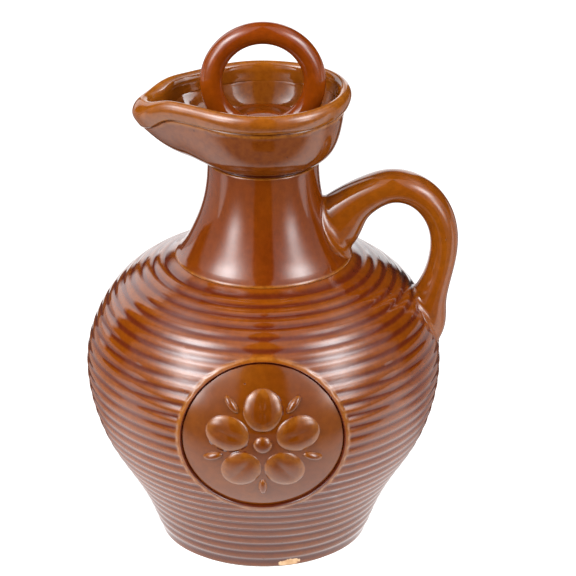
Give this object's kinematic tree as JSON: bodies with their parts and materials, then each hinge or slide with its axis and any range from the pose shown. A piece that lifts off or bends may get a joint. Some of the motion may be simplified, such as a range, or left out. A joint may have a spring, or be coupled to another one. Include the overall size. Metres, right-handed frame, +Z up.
{
  "type": "sake bottle",
  "caption": "Ribbed brown-glazed stoneware sake jug with a pouring lip, strap handle, raised flower medallion and a ring-topped stopper that lifts out.",
  "frame": {"origin": "centre of the foot, on the turning axis, at the plane the jug stands on", "axes": "+Z up along the turning axis; the pouring lip points along -X, the handle along +X, the medallion faces -Y"},
  "size_m": [0.1254, 0.1204, 0.1847],
  "materials": {
    "amber_glaze": "glossy amber-brown glaze over ribbed clay, darker in the grooves",
    "neck_glaze": "glossy amber-brown glaze, deeper and redder",
    "thin_glaze": "glossy glaze broken thin and golden over the edges",
    "stopper_glaze": "glossy amber-brown glaze",
    "bare_clay": "matt unglazed buff stoneware"
  },
  "bodies": {
    "jug": {"body_shell": "amber_glaze", "foot_base": "bare_clay", "medallion_disc": "amber_glaze", "medallion_emblem": "amber_glaze", "neck_collar": "neck_glaze", "mouth_cup": "neck_glaze", "rim_band": "thin_glaze", "handle": "thin_glaze"},
    "stopper": {"stopper_disc": "stopper_glaze", "stopper_plug": "bare_clay", "stopper_ring": "stopper_glaze"}
  },
  "joints": [
    {"name": "stopper_lift", "type": "slide", "parent": "jug", "child": "stopper", "axis": [0, 0, 1], "range_m": [0, 0.04]}
  ]
}
